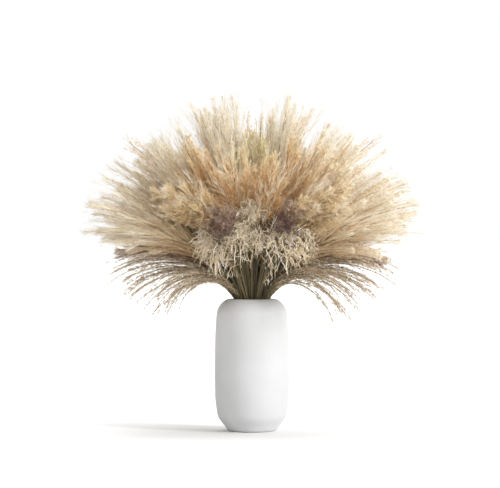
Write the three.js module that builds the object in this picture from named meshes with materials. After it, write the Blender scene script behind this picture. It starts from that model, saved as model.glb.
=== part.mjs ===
// A bundle of dried pampas grass and reed grass standing in a white ceramic vase.
//
// Frame: millimetres, +Z up. The origin is the centre of the vase's foot, on the
// surface that it stands on, and the vase's axis is the Z axis. +X is to the
// right as the bundle is seen from its front, which faces -Y.
//
// Every stalk is one closed body: a round stem that stands on the vase's floor,
// leaves through the mouth, and swells into its plume, seed head or leaf.
// No stalk touches another or the vase: they keep a small clearance.

import * as THREE from "three";

// ---------------------------------------------------------------- dimensions
const VASE_HEIGHT = 200; // foot to rim
const FLOOR_Z = 8; // top of the vase's floor
const MOUTH_RADIUS = 31; // inside the rim
const VASE_SEGMENTS = 48;
const STEM_RADIUS = 1.5; // a stem in the vase
const STEM_FOOT_GAP = 1.0; // stem ends above the vase's floor
const CLEARANCE = 0.5; // between two stalks
const SIDES = 6; // of a stalk's section
const BEND_START_Z = 150; // stems are nearly upright below this
// radii in the mouth of the five rings that the stems stand in
const RING = [7.6, 11.4, 15.2, 19.0, 22.6];

// outside of the vase, from the foot up: radius, height
const VASE_OUTSIDE = [
  [30.3, 0],
  [34.6, 0.6],
  [37.6, 2.6],
  [39.6, 5.2],
  [42.6, 9.8],
  [47.7, 15.9],
  [51.5, 22.7],
  [53.9, 35.3],
  [55.6, 50.8],
  [56.2, 80],
  [56.2, 105],
  [55.4, 147],
  [54.3, 168],
  [53.0, 180],
  [50.6, 187],
  [46.8, 192.6],
  [42.0, 197],
  [38.0, 199.3],
  [34.8, VASE_HEIGHT],
];
// inside of the vase, from the rim down: radius, height
const VASE_INSIDE = [
  [32.2, VASE_HEIGHT - 0.2],
  [MOUTH_RADIUS, 198.2],
  [MOUTH_RADIUS, 195.4],
  [34.5, 192.6],
  [40.5, 189.2],
  [45.6, 183],
  [48.2, 172],
  [49.6, 147],
  [50.4, 105],
  [50.2, 70],
  [49.2, 44],
  [47.0, 29],
  [41.0, 16],
  [32.0, 9.6],
  [20.0, FLOOR_Z],
];

// ------------------------------------------------------------------ colours
const COLOUR = {
  vase: 0xf1f1f0,
  golden_stalk: 0xcfa671,
  seed_stalk: 0xb99a70,
  cream_plume: 0xe3d2b4,
  tan_plume: 0xc9a77c,
  blush_plume: 0xd2b8a0,
  straw_plume: 0xd8c08c,
  mauve_plume: 0x8d716b,
  straw_leaf: 0xbdb083,
  drooping_stalk: 0x6f6459,
};

// ------------------------------------------------------------------- stalks
// One row per stalk. Angles in degrees, lengths in mm.
//   ring    which ring of the mouth the stem stands in
//   az      direction that it leans to, from +X towards +Y
//   reach   distance of its tip from the vase's axis
//   top     height of its tip
//   lean    lean from upright as it leaves the mouth
//   end     lean of its tip from upright
//   head    length of the plume, seed head or leaf
//   fat     largest radius of that head
const STALKS = {
  golden_stalk: [
    { ring: 0, az: -90, reach: 14, top: 446, lean: 1, end: 4, head: 150, fat: 9 },
    { ring: 0, az: -38, reach: 30, top: 438, lean: 4, end: 10, head: 148, fat: 10 },
    { ring: 0, az: 14, reach: 44, top: 444, lean: 6, end: 14, head: 150, fat: 10 },
    { ring: 0, az: 64, reach: 30, top: 452, lean: 4, end: 8, head: 150, fat: 10 },
    { ring: 0, az: 118, reach: 34, top: 440, lean: 4, end: 9, head: 148, fat: 10 },
    { ring: 0, az: 168, reach: 46, top: 447, lean: 6, end: 14, head: 150, fat: 10 },
    { ring: 0, az: 218, reach: 32, top: 436, lean: 4, end: 10, head: 146, fat: 10 },
  ],
  seed_stalk: [
    { ring: 1, az: -62, reach: 30, top: 475, lean: 5, end: 5, head: 120, fat: 3 },
    { ring: 1, az: 118, reach: 52, top: 481, lean: 6, end: 9, head: 120, fat: 3 },
    { ring: 1, az: 3, reach: 76, top: 484, lean: 8, end: 22, head: 120, fat: 3 },
    { ring: 1, az: 177, reach: 76, top: 482, lean: 8, end: 22, head: 120, fat: 3 },
    { ring: 2, az: 0, reach: 190, top: 444, lean: 18, end: 52, head: 130, fat: 3 },
    { ring: 2, az: 180, reach: 190, top: 440, lean: 18, end: 52, head: 130, fat: 3 },
  ],
  cream_plume: [
    { ring: 1, az: -27, reach: 62, top: 497, lean: 9, end: 14, head: 185, fat: 11 },
    { ring: 1, az: 30, reach: 64, top: 486, lean: 9, end: 15, head: 180, fat: 11 },
    { ring: 1, az: 207, reach: 62, top: 495, lean: 9, end: 14, head: 185, fat: 11 },
    { ring: 1, az: 150, reach: 64, top: 484, lean: 9, end: 15, head: 180, fat: 11 },
    { ring: 2, az: -20, reach: 155, top: 441, lean: 18, end: 42, head: 160, fat: 13 },
    { ring: 2, az: 20, reach: 156, top: 432, lean: 18, end: 43, head: 160, fat: 13 },
    { ring: 2, az: 200, reach: 155, top: 438, lean: 18, end: 42, head: 160, fat: 13 },
    { ring: 2, az: 160, reach: 156, top: 430, lean: 18, end: 43, head: 160, fat: 13 },
  ],
  tan_plume: [
    { ring: 2, az: -42, reach: 132, top: 428, lean: 15, end: 34, head: 150, fat: 13 },
    { ring: 2, az: 42, reach: 134, top: 422, lean: 15, end: 35, head: 150, fat: 13 },
    { ring: 2, az: 222, reach: 132, top: 426, lean: 15, end: 34, head: 150, fat: 13 },
    { ring: 2, az: 138, reach: 134, top: 420, lean: 15, end: 35, head: 150, fat: 13 },
    { ring: 2, az: -76, reach: 140, top: 412, lean: 15, end: 40, head: 145, fat: 13 },
    { ring: 2, az: -104, reach: 138, top: 414, lean: 15, end: 40, head: 145, fat: 13 },
    { ring: 2, az: 75, reach: 156, top: 416, lean: 15, end: 42, head: 150, fat: 13 },
    { ring: 2, az: 105, reach: 154, top: 420, lean: 15, end: 42, head: 150, fat: 13 },
  ],
  blush_plume: [
    { ring: 3, az: 9, reach: 224, top: 386, lean: 24, end: 64, head: 165, fat: 14 },
    { ring: 3, az: -9, reach: 246, top: 342, lean: 27, end: 77, head: 170, fat: 14 },
    { ring: 3, az: 26, reach: 238, top: 336, lean: 27, end: 80, head: 160, fat: 14 },
    { ring: 3, az: -26, reach: 236, top: 300, lean: 30, end: 90, head: 160, fat: 14 },
    { ring: 3, az: 171, reach: 224, top: 384, lean: 24, end: 64, head: 165, fat: 14 },
    { ring: 3, az: 189, reach: 246, top: 340, lean: 27, end: 77, head: 170, fat: 14 },
    { ring: 3, az: 154, reach: 238, top: 334, lean: 27, end: 80, head: 160, fat: 14 },
    { ring: 3, az: 206, reach: 236, top: 302, lean: 30, end: 90, head: 160, fat: 14 },
  ],
  straw_plume: [
    { ring: 3, az: -62, reach: 222, top: 350, lean: 26, end: 70, head: 150, fat: 14 },
    { ring: 3, az: -118, reach: 220, top: 348, lean: 26, end: 70, head: 150, fat: 14 },
    { ring: 3, az: 60, reach: 236, top: 350, lean: 26, end: 72, head: 160, fat: 14 },
    { ring: 3, az: 120, reach: 234, top: 346, lean: 26, end: 72, head: 160, fat: 14 },
  ],
  mauve_plume: [
    { ring: 4, az: 0, reach: 200, top: 262, lean: 30, end: 104, head: 110, fat: 10 },
    { ring: 4, az: 180, reach: 200, top: 264, lean: 30, end: 104, head: 110, fat: 10 },
    { ring: 4, az: -73, reach: 150, top: 330, lean: 26, end: 72, head: 90, fat: 12 },
    { ring: 4, az: -107, reach: 148, top: 328, lean: 26, end: 72, head: 90, fat: 12 },
  ],
  straw_leaf: [
    { ring: 3, az: -90, reach: 88, top: 300, lean: 18, end: 120, head: 80, fat: 4 },
    { ring: 3, az: -42, reach: 92, top: 292, lean: 20, end: 128, head: 80, fat: 4 },
    { ring: 3, az: -138, reach: 92, top: 294, lean: 20, end: 128, head: 80, fat: 4 },
    { ring: 3, az: 90, reach: 92, top: 300, lean: 18, end: 120, head: 80, fat: 4 },
    { ring: 3, az: 42, reach: 94, top: 292, lean: 20, end: 126, head: 80, fat: 4 },
    { ring: 3, az: 138, reach: 94, top: 294, lean: 20, end: 126, head: 80, fat: 4 },
  ],
  drooping_stalk: [
    { ring: 4, az: -14, reach: 222, top: 222, lean: 32, end: 128, head: 130, fat: 2.6 },
    { ring: 4, az: 15, reach: 228, top: 236, lean: 32, end: 126, head: 130, fat: 2.6 },
    { ring: 4, az: -40, reach: 205, top: 192, lean: 34, end: 138, head: 130, fat: 2.6 },
    { ring: 4, az: 41, reach: 212, top: 196, lean: 34, end: 138, head: 130, fat: 2.6 },
    { ring: 4, az: 194, reach: 222, top: 224, lean: 32, end: 128, head: 130, fat: 2.6 },
    { ring: 4, az: 165, reach: 228, top: 234, lean: 32, end: 126, head: 130, fat: 2.6 },
    { ring: 4, az: 220, reach: 205, top: 190, lean: 34, end: 138, head: 130, fat: 2.6 },
    { ring: 4, az: 139, reach: 212, top: 198, lean: 34, end: 138, head: 130, fat: 2.6 },
  ],
};

// --------------------------------------------------------------- stalk path
const rad = THREE.MathUtils.degToRad;

// The path lies in the upright plane of its direction: x is the distance from
// the vase's axis and y the height.
function pathOf(s) {
  const ring = RING[s.ring];
  const foot = new THREE.Vector2(ring, FLOOR_Z + STEM_FOOT_GAP);
  const bend = new THREE.Vector2(ring, BEND_START_Z);
  const neck = new THREE.Vector2(ring + 0.35 * (s.lean / 10), VASE_HEIGHT);
  const tip = new THREE.Vector2(s.reach, s.top);
  const far = neck.distanceTo(tip);
  const out = new THREE.Vector2(Math.sin(rad(s.lean)), Math.cos(rad(s.lean)));
  const last = new THREE.Vector2(Math.sin(rad(s.end)), Math.cos(rad(s.end)));
  const arc = new THREE.CubicBezierCurve(
    neck,
    neck.clone().addScaledVector(out, far * 0.42),
    tip.clone().addScaledVector(last, -far * 0.36),
    tip,
  );
  const low = new THREE.CubicBezierCurve(
    bend,
    bend.clone().add(new THREE.Vector2(0, 20)),
    neck.clone().addScaledVector(out, -18),
    neck,
  );
  const cos = Math.cos(rad(s.az));
  const sin = Math.sin(rad(s.az));
  const put = (p) => new THREE.Vector3(p.x * cos, p.x * sin, p.y);
  const points = [put(foot), put(bend)];
  for (const t of [0.5, 1]) points.push(put(low.getPoint(t)));
  return { points, arc, put, length: arc.getLength() };
}

// A loft's stations: centre and radius.
function stationsOf(s, kind) {
  const { points, arc, put, length } = pathOf(s);
  const stations = points.map((centre) => ({ centre, radius: STEM_RADIUS }));
  const headStart = Math.max(0.12, 1 - s.head / length);
  const neckToHead = 3;
  for (let i = 1; i <= neckToHead; i++) {
    const u = (headStart * i) / neckToHead;
    stations.push({ centre: put(arc.getPointAt(u)), radius: STEM_RADIUS * (1 - 0.25 * u) });
  }
  const shape = [
    [0.14, 0.55],
    [0.3, 0.9],
    [0.46, 1.0],
    [0.64, 0.86],
    [0.82, 0.52],
    [1.0, 0.0],
  ];
  for (const [t, swell] of shape) {
    const u = headStart + (1 - headStart) * t;
    const thin = STEM_RADIUS * (1 - 0.25 * u) * (1 - 0.45 * t);
    stations.push({
      centre: put(arc.getPointAt(Math.min(u, 1))),
      radius: thin + Math.max(0, s.fat - thin) * swell,
    });
  }
  return stations;
}

// ------------------------------------------------- keeping the heads apart
const STEP = 2.5; // mm between the samples along a stalk

function samplesOf(stations) {
  const samples = [];
  for (let i = 0; i + 1 < stations.length; i++) {
    const a = stations[i];
    const b = stations[i + 1];
    const n = Math.max(1, Math.ceil(a.centre.distanceTo(b.centre) / STEP));
    for (let k = 0; k < n; k++) {
      const t = (k + 0.5) / n;
      samples.push({
        p: a.centre.clone().lerp(b.centre, t),
        r: a.radius + (b.radius - a.radius) * t,
        segment: i,
        room: Infinity,
      });
    }
  }
  return samples;
}

// Two heads that would meet share the space between them by their sizes.
function makeRoom(all) {
  for (let round = 0; round < 2; round++) {
    const sampled = all.map((s) => samplesOf(s.stations));
    for (let a = 0; a < all.length; a++) {
      for (let b = a + 1; b < all.length; b++) {
        for (const i of sampled[a]) {
          for (const j of sampled[b]) {
            const dz = i.p.z - j.p.z;
            if (dz > 34 || dz < -34) continue;
            const d2 = i.p.distanceToSquared(j.p);
            const need = i.r + j.r + CLEARANCE;
            if (d2 >= need * need) continue;
            const free = Math.sqrt(d2) - CLEARANCE;
            const share = (free * i.r) / (i.r + j.r);
            i.room = Math.min(i.room, share);
            j.room = Math.min(j.room, free - share);
          }
        }
      }
    }
    all.forEach((s, n) => {
      for (const k of sampled[n]) {
        for (const at of [k.segment, k.segment + 1]) {
          const station = s.stations[at];
          if (k.room < station.radius) station.radius = Math.max(k.room, 0.45);
        }
      }
    });
  }
}

// --------------------------------------------------------------------- loft
function loft(stations) {
  const positions = [];
  const index = [];
  const tangents = stations.map((_, i) => {
    const a = stations[Math.max(i - 1, 0)].centre;
    const b = stations[Math.min(i + 1, stations.length - 1)].centre;
    return b.clone().sub(a).normalize();
  });
  // a frame carried along the path without twist
  const side = new THREE.Vector3(0, 0, 1).cross(stations.at(-1).centre).normalize();
  stations.forEach((s, i) => {
    const u = side.clone().addScaledVector(tangents[i], -side.dot(tangents[i])).normalize();
    const v = tangents[i].clone().cross(u);
    for (let k = 0; k < SIDES; k++) {
      const a = ((k + 0.5) / SIDES) * Math.PI * 2;
      const p = s.centre
        .clone()
        .addScaledVector(u, Math.cos(a) * s.radius)
        .addScaledVector(v, Math.sin(a) * s.radius);
      positions.push(p.x, p.y, p.z);
    }
  });
  const last = stations.length - 1;
  for (let i = 0; i < last; i++) {
    for (let k = 0; k < SIDES; k++) {
      const a = i * SIDES + k;
      const b = i * SIDES + ((k + 1) % SIDES);
      index.push(a, b, b + SIDES, a, b + SIDES, a + SIDES);
    }
  }
  for (let k = 1; k + 1 < SIDES; k++) {
    index.push(0, k + 1, k);
    index.push(last * SIDES, last * SIDES + k, last * SIDES + k + 1);
  }
  const geometry = new THREE.BufferGeometry();
  geometry.setAttribute("position", new THREE.Float32BufferAttribute(positions, 3));
  geometry.setIndex(index);
  geometry.computeVertexNormals();
  return geometry;
}

// --------------------------------------------------------------------- vase
function makeVase() {
  // the profile runs from the axis under the foot, up the outside, over the rim
  // and down the inside to the axis on the floor
  const profile = [
    new THREE.Vector2(0, 0),
    ...VASE_OUTSIDE.map(([r, z]) => new THREE.Vector2(r, z)),
    ...VASE_INSIDE.map(([r, z]) => new THREE.Vector2(r, z)),
    new THREE.Vector2(0, FLOOR_Z),
  ];
  const geometry = new THREE.LatheGeometry(profile, VASE_SEGMENTS);
  geometry.rotateX(Math.PI / 2);
  const mesh = new THREE.Mesh(
    geometry,
    new THREE.MeshStandardMaterial({ color: COLOUR.vase, roughness: 0.55, metalness: 0 }),
  );
  mesh.name = "vase";
  return mesh;
}

// -------------------------------------------------------------------- build
const group = new THREE.Group();
group.name = "pampas_bundle";
group.add(makeVase());

const all = [];
for (const [kind, rows] of Object.entries(STALKS)) {
  rows.forEach((row, i) => {
    const name = `${kind}_${String(i + 1).padStart(2, "0")}`;
    all.push({ name, kind, stations: stationsOf(row, kind) });
  });
}
makeRoom(all);
for (const { name, kind, stations } of all) {
  const mesh = new THREE.Mesh(
    loft(stations),
    new THREE.MeshStandardMaterial({ color: COLOUR[kind], roughness: 0.85, metalness: 0 }),
  );
  mesh.name = name;
  group.add(mesh);
}

export default group;
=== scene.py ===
"""The looks of a bundle of dried pampas and reed grass in a white ceramic vase.

Every stalk is a mesh of fine closed strands: a stem, branchlets, hairs, seeds and
leaves, grown along the same path as the stalk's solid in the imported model.
Lengths are in millimetres until a mesh is made, which is in metres.
"""

import math

import bpy
import numpy as np
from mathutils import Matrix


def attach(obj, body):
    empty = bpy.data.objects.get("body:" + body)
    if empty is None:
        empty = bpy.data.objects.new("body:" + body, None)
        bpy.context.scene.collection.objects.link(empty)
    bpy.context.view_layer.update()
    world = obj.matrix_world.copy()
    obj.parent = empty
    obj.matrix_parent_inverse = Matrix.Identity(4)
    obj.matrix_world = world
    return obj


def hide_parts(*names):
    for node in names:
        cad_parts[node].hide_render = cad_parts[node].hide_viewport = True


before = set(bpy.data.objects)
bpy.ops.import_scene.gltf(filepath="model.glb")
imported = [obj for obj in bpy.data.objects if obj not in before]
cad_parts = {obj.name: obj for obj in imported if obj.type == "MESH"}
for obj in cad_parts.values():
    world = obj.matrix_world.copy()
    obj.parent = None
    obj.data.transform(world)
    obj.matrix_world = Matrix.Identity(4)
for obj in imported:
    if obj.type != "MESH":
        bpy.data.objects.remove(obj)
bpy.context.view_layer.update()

MM = 0.001
UP = np.array([0.0, 0.0, 1.0])

# ------------------------------------------------------------------ the stalks
VASE_HEIGHT, FLOOR_Z, STEM_FOOT_GAP, BEND_START_Z = 200.0, 8.0, 1.0, 150.0
STEM_RADIUS = 1.5
RING = [7.6, 11.4, 15.2, 19.0, 22.6]
# ring, direction, reach, top, lean at the mouth, lean at the tip, head length
STALKS = {
    "golden_stalk": [
        (0, -90, 14, 446, 1, 4, 150),
        (0, -38, 30, 438, 4, 10, 148),
        (0, 14, 44, 444, 6, 14, 150),
        (0, 64, 30, 452, 4, 8, 150),
        (0, 118, 34, 440, 4, 9, 148),
        (0, 168, 46, 447, 6, 14, 150),
        (0, 218, 32, 436, 4, 10, 146),
    ],
    "seed_stalk": [
        (1, -62, 30, 475, 5, 5, 120),
        (1, 118, 52, 481, 6, 9, 120),
        (1, 3, 76, 484, 8, 22, 120),
        (1, 177, 76, 482, 8, 22, 120),
        (2, 0, 190, 444, 18, 52, 130),
        (2, 180, 190, 440, 18, 52, 130),
    ],
    "cream_plume": [
        (1, -27, 62, 497, 9, 14, 185),
        (1, 30, 64, 486, 9, 15, 180),
        (1, 207, 62, 495, 9, 14, 185),
        (1, 150, 64, 484, 9, 15, 180),
        (2, -20, 155, 441, 18, 42, 160),
        (2, 20, 156, 432, 18, 43, 160),
        (2, 200, 155, 438, 18, 42, 160),
        (2, 160, 156, 430, 18, 43, 160),
    ],
    "tan_plume": [
        (2, -42, 132, 428, 15, 34, 150),
        (2, 42, 134, 422, 15, 35, 150),
        (2, 222, 132, 426, 15, 34, 150),
        (2, 138, 134, 420, 15, 35, 150),
        (2, -76, 140, 412, 15, 40, 145),
        (2, -104, 138, 414, 15, 40, 145),
        (2, 75, 156, 416, 15, 42, 150),
        (2, 105, 154, 420, 15, 42, 150),
    ],
    "blush_plume": [
        (3, 9, 224, 386, 24, 64, 165),
        (3, -9, 246, 342, 27, 77, 170),
        (3, 26, 238, 336, 27, 80, 160),
        (3, -26, 236, 300, 30, 90, 160),
        (3, 171, 224, 384, 24, 64, 165),
        (3, 189, 246, 340, 27, 77, 170),
        (3, 154, 238, 334, 27, 80, 160),
        (3, 206, 236, 302, 30, 90, 160),
    ],
    "straw_plume": [
        (3, -62, 222, 350, 26, 70, 150),
        (3, -118, 220, 348, 26, 70, 150),
        (3, 60, 236, 350, 26, 72, 160),
        (3, 120, 234, 346, 26, 72, 160),
    ],
    "mauve_plume": [
        (4, 0, 200, 262, 30, 104, 110),
        (4, 180, 200, 264, 30, 104, 110),
        (4, -73, 150, 330, 26, 72, 90),
        (4, -107, 148, 328, 26, 72, 90),
    ],
    "straw_leaf": [
        (3, -90, 88, 300, 18, 120, 80),
        (3, -42, 92, 292, 20, 128, 80),
        (3, -138, 92, 294, 20, 128, 80),
        (3, 90, 92, 300, 18, 120, 80),
        (3, 42, 94, 292, 20, 126, 80),
        (3, 138, 94, 294, 20, 126, 80),
    ],
    "drooping_stalk": [
        (4, -14, 222, 222, 32, 128, 130),
        (4, 15, 228, 236, 32, 126, 130),
        (4, -40, 205, 192, 34, 138, 130),
        (4, 41, 212, 196, 34, 138, 130),
        (4, 194, 222, 224, 32, 128, 130),
        (4, 165, 228, 234, 32, 126, 130),
        (4, 220, 205, 190, 34, 138, 130),
        (4, 139, 212, 198, 34, 138, 130),
    ],
}


def unit(v):
    return v / np.maximum(np.linalg.norm(v, axis=-1, keepdims=True), 1e-9)


def bezier(p, t):
    t = t[:, None]
    return (
        p[0] * (1 - t) ** 3
        + 3 * p[1] * t * (1 - t) ** 2
        + 3 * p[2] * t * t * (1 - t)
        + p[3] * t**3
    )


class Path:
    """The line that a stalk grows along. at(u) is the place and direction at a share u of the way from the mouth to the tip, and below 0 down the stem in the vase."""

    def __init__(self, row):
        ring, az, reach, top, lean, end, head = row
        a = math.radians(az)
        self.out = np.array([math.cos(a), math.sin(a), 0.0])
        self.side = np.array([-math.sin(a), math.cos(a), 0.0])
        r = RING[ring]
        neck = np.array([r + 0.035 * lean, VASE_HEIGHT])
        tip = np.array([reach, top], float)
        far = np.linalg.norm(tip - neck)
        d0 = np.array([math.sin(math.radians(lean)), math.cos(math.radians(lean))])
        d1 = np.array([math.sin(math.radians(end)), math.cos(math.radians(end))])
        t = np.linspace(0, 1, 240)
        arc = bezier([neck, neck + d0 * far * 0.42, tip - d1 * far * 0.36, tip], t)
        bend = np.array([r, BEND_START_Z])
        low = bezier([bend, bend + [0, 20], neck - d0 * 18, neck], t[::6])
        foot = np.array([[r, z] for z in np.linspace(FLOOR_Z + STEM_FOOT_GAP, BEND_START_Z, 8)])
        flat = np.vstack([foot[:-1], low[:-1], arc])
        self.points = flat[:, :1] * self.out + flat[:, 1:] * UP
        step = np.linalg.norm(np.diff(self.points, axis=0), axis=1)
        s = np.concatenate([[0], np.cumsum(step)])
        neck_at = s[len(foot) - 1 + len(low) - 1]
        self.length = s[-1] - neck_at
        self.foot = -neck_at / self.length
        self.u = (s - neck_at) / self.length
        self.tangents = unit(np.gradient(self.points, s, axis=0))
        self.head = 1 - head / self.length

    def at(self, u):
        u = np.asarray(u, float)
        p = np.stack([np.interp(u, self.u, self.points[:, i]) for i in range(3)], -1)
        d = unit(np.stack([np.interp(u, self.u, self.tangents[:, i]) for i in range(3)], -1))
        # beyond the tip the line runs straight on
        over = np.maximum(u - 1, 0)[..., None] * self.length
        return p + d * over, d

    def frame_at(self, u):
        p, d = self.at(u)
        side = np.broadcast_to(self.side, d.shape)
        return p, d, unit(np.cross(side, d)), side


# --------------------------------------------------------------- strand meshes
class Growth:
    """The vertices, triangles and colour coordinates of one piece."""

    def __init__(self, seed):
        self.rng = np.random.default_rng(seed)
        self.v, self.t, self.uv, self.n = [], [], [], 0

    def _add(self, verts, tris, uv):
        self.v.append(verts.reshape(-1, 3))
        self.t.append(tris.reshape(-1, 3) + self.n)
        self.uv.append(uv.reshape(-1, 2))
        self.n += len(self.v[-1])

    def tubes(self, P, R, u, v, sides=3, flat=1.0, normal=None):
        """Closed tapered strands along the lines P (n, k, 3) with radii R (n, k), each ending in a point. u (n) is a strand's tone and v (n, k) its place in the colour range."""
        P = np.asarray(P, float)
        n, k, _ = P.shape
        R = np.broadcast_to(R, (n, k))
        u = np.broadcast_to(u, (n,))
        v = np.broadcast_to(v, (n, k))
        T = unit(np.gradient(P, axis=1)) if k > 2 else np.repeat(unit(P[:, 1:] - P[:, :1]), 2, 1)
        ref = self.rng.normal(size=(n, 1, 3)) if normal is None else np.broadcast_to(normal, (n, 3))[:, None]
        A = ref - (ref * T).sum(-1, keepdims=True) * T
        A = unit(A)
        B = np.cross(T, A)
        ang = np.arange(sides) * 2 * np.pi / sides
        c, s = np.cos(ang)[None, None, :, None], np.sin(ang)[None, None, :, None]
        rings = P[:, : k - 1, None] + R[:, : k - 1, None, None] * (c * A[:, : k - 1, None] + s * B[:, : k - 1, None] * flat)
        verts = np.concatenate([rings.reshape(n, -1, 3), P[:, k - 1 :]], axis=1)
        per = (k - 1) * sides + 1
        j = np.arange(sides)
        jn = (j + 1) % sides
        tris, who = [], []  # who: (ring, side) of each corner, for the colours
        for i in range(k - 2):
            a, b = i * sides + j, i * sides + jn
            tris += [np.stack([a, b, b + sides], 1), np.stack([a, b + sides, a + sides], 1)]
            who += [
                np.stack([j, j + 1, j + 1], 1) + 100 * np.array([i, i, i + 1]),
                np.stack([j, j + 1, j], 1) + 100 * np.array([i, i + 1, i + 1]),
            ]
        a, b = (k - 2) * sides + j, (k - 2) * sides + jn
        tris.append(np.stack([a, b, np.full(sides, per - 1)], 1))
        who.append(np.stack([j, j + 1, j], 1) + 100 * np.array([k - 2, k - 2, k - 1]))
        for m in range(1, sides - 1):
            tris.append(np.array([[0, m + 1, m]]))
            who.append(np.array([[0, m + 1, m]]))
        tris, who = np.vstack(tris), np.vstack(who)
        ring, side = who // 100, who % 100
        all_tris = tris[None] + (np.arange(n) * per)[:, None, None]
        uu = u[:, None, None] + (side[None] / sides - 0.5) * 0.012
        vv = v[:, ring] + (side[None] % 2) * 0.003
        self._add(verts, all_tris, np.stack([np.clip(uu, 0.004, 0.996), np.clip(vv, 0.004, 0.996)], -1))

    def seeds(self, P, D, length, radius, u, v):
        """Small closed spindles: P their feet, D their directions."""
        n = len(P)
        length, radius = np.broadcast_to(length, (n,)), np.broadcast_to(radius, (n,))
        u, v = np.broadcast_to(u, (n,)), np.broadcast_to(v, (n,))
        ref = self.rng.normal(size=(n, 3))
        A = unit(ref - (ref * D).sum(-1, keepdims=True) * D)
        B = np.cross(D, A)
        mid = P + D * (length * 0.42)[:, None]
        ang = np.arange(3) * 2 * np.pi / 3
        ring = mid[:, None] + radius[:, None, None] * (np.cos(ang)[None, :, None] * A[:, None] + np.sin(ang)[None, :, None] * B[:, None])
        verts = np.concatenate([P[:, None], ring, (P + D * length[:, None])[:, None]], 1)
        tris = np.array([[0, 2, 1], [0, 3, 2], [0, 1, 3], [4, 1, 2], [4, 2, 3], [4, 3, 1]])
        du = np.array([0, -1, 0, 1, 0.5])[tris] * 0.006
        dv = np.array([-1, 0, 0.4, -0.3, 1])[tris] * 0.006
        all_tris = tris[None] + (np.arange(n) * 5)[:, None, None]
        uv = np.stack([u[:, None, None] + du[None], v[:, None, None] + dv[None]], -1)
        self._add(verts, all_tris, np.clip(uv, 0.004, 0.996))

    def triangles(self):
        return sum(len(t) for t in self.t)

    def piece(self, name, material):
        verts = (np.vstack(self.v) * MM).astype(np.float32)
        tris = np.vstack(self.t).astype(np.int32)
        uv = np.vstack(self.uv).astype(np.float32)
        mesh = bpy.data.meshes.new(name)
        mesh.vertices.add(len(verts))
        mesh.vertices.foreach_set("co", verts.ravel())
        mesh.loops.add(tris.size)
        mesh.loops.foreach_set("vertex_index", tris.ravel())
        mesh.polygons.add(len(tris))
        mesh.polygons.foreach_set("loop_start", np.arange(len(tris), dtype=np.int32) * 3)
        mesh.update(calc_edges=True)
        mesh.polygons.foreach_set("use_smooth", np.ones(len(tris), bool))
        layer = mesh.uv_layers.new(name="OFBake")
        layer.data.foreach_set("uv", uv.ravel())
        mesh.materials.append(material)
        mesh.validate()
        mesh.update()
        piece = bpy.data.objects.new(name, mesh)
        bpy.context.scene.collection.objects.link(piece)
        return piece


# ------------------------------------------------------------- growth of parts
def around(rng, D, low, high):
    """Directions that lean away from D by an angle from low to high, in radians, to all sides."""
    ref = rng.normal(size=D.shape)
    N = unit(ref - (ref * D).sum(-1, keepdims=True) * D)
    a = low + (high - low) * rng.random(D.shape[:-1])[..., None]
    return D * np.cos(a) + N * np.sin(a)


def grow(rng, P, D, length, k, pull=(0, 0, 0), wild=0.0, curl=0.0):
    """Lines of k points from P along D (n, 3). pull bends each towards a direction, wild sends each its own way, curl wriggles it."""
    n = len(P)
    length = np.broadcast_to(length, (n,))
    pull = np.broadcast_to(np.asarray(pull, float), (n, 3))
    own = unit(rng.normal(size=(n, 3))) * wild
    points, d, p = [P], D, P
    wave = unit(rng.normal(size=(n, 3)))
    other = unit(np.cross(wave, D))
    phase = rng.random(n) * 2 * np.pi
    turns = 1.2 + rng.random(n) * 1.6
    for i in range(1, k):
        s = i / (k - 1)
        a = phase + turns * 2 * np.pi * s
        twist = (np.cos(a)[:, None] * wave + np.sin(a)[:, None] * other) * curl
        d = unit(D + (pull + own) * s + twist)
        p = p + d * (length / (k - 1))[:, None]
        points.append(p)
    return np.stack(points, 1)


def along(lines, t):
    """Place and direction at shares t (n, m) of lines (n, k, 3)."""
    n, k, _ = lines.shape
    x = np.clip(t, 0, 0.9999) * (k - 1)
    i = x.astype(int)
    f = (x - i)[..., None]
    rows = np.arange(n)[:, None]
    a, b = lines[rows, i], lines[rows, i + 1]
    return a + (b - a) * f, unit(b - a)


def stem(g, path, tip_radius=0.35, to=1.0, radius=STEM_RADIUS, tone=0.5, joints=True):
    """The round stem, which runs on into the head as its axis."""
    u = np.concatenate([np.linspace(path.foot, 0, 12)[:-1], np.linspace(0, to, 30)])
    p, d = path.at(u)
    share = np.clip(u / to, 0, 1)
    r = radius + (tip_radius - radius) * share**1.3
    if joints:  # swollen nodes of the culm, with a sheath above each
        for at in (-0.35, 0.08, 0.3):
            r = r * (1 + 0.22 * np.exp(-(((u - at) / 0.012) ** 2)) + 0.06 * ((u > at) & (u < at + 0.08)))
    v = 0.02 + 0.16 * np.clip((u - path.foot) / (to - path.foot), 0, 1)
    g.tubes(p[None], r[None], tone, v[None], sides=8)


CENTRE = np.array([0.0, 0.0, 262.0])
OUTLINE = 262.0


def radial(P):
    """How far out of the bundle a point is: 0 in the middle, 1 at the outline. The plumes' painted shade comes from it:
    darker towards the middle, lighter at the outline.
    """
    q = P - CENTRE
    return np.clip(np.linalg.norm(q * np.array([1.0, 1.0, 1.08]), axis=-1) / OUTLINE, 0, 1)


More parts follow.
